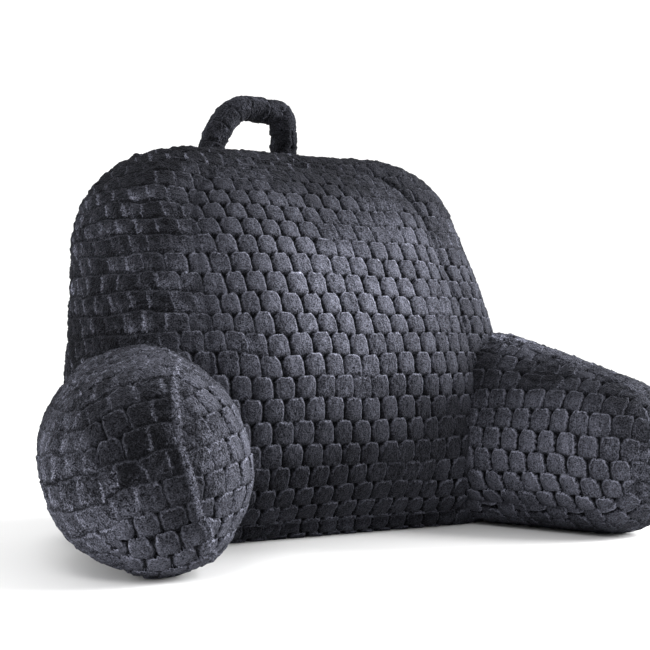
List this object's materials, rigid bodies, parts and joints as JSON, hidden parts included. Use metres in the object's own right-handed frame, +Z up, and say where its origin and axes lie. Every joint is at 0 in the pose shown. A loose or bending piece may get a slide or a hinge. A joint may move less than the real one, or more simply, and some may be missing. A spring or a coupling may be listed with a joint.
{
  "type": "reading pillow with arms",
  "caption": "Backrest cushion with two stuffed arms and a padded carry handle, covered in plush sculpted into staggered cells, for sitting up in bed.",
  "frame": {"origin": "middle of the whole pillow's footprint, on the floor it stands on", "axes": "+X across the pillow to its left-hand arm as a sitter has it, -Y the way it faces, +Z up"},
  "size_m": [0.7936, 0.5166, 0.5552],
  "materials": {
    "plush": "matte sculpted plush",
    "strap_plush": "matte plush"
  },
  "bodies": {
    "root": {"back_cushion": "plush", "arm_left": "plush", "arm_right": "plush", "carry_handle": "strap_plush"}
  },
  "joints": []
}
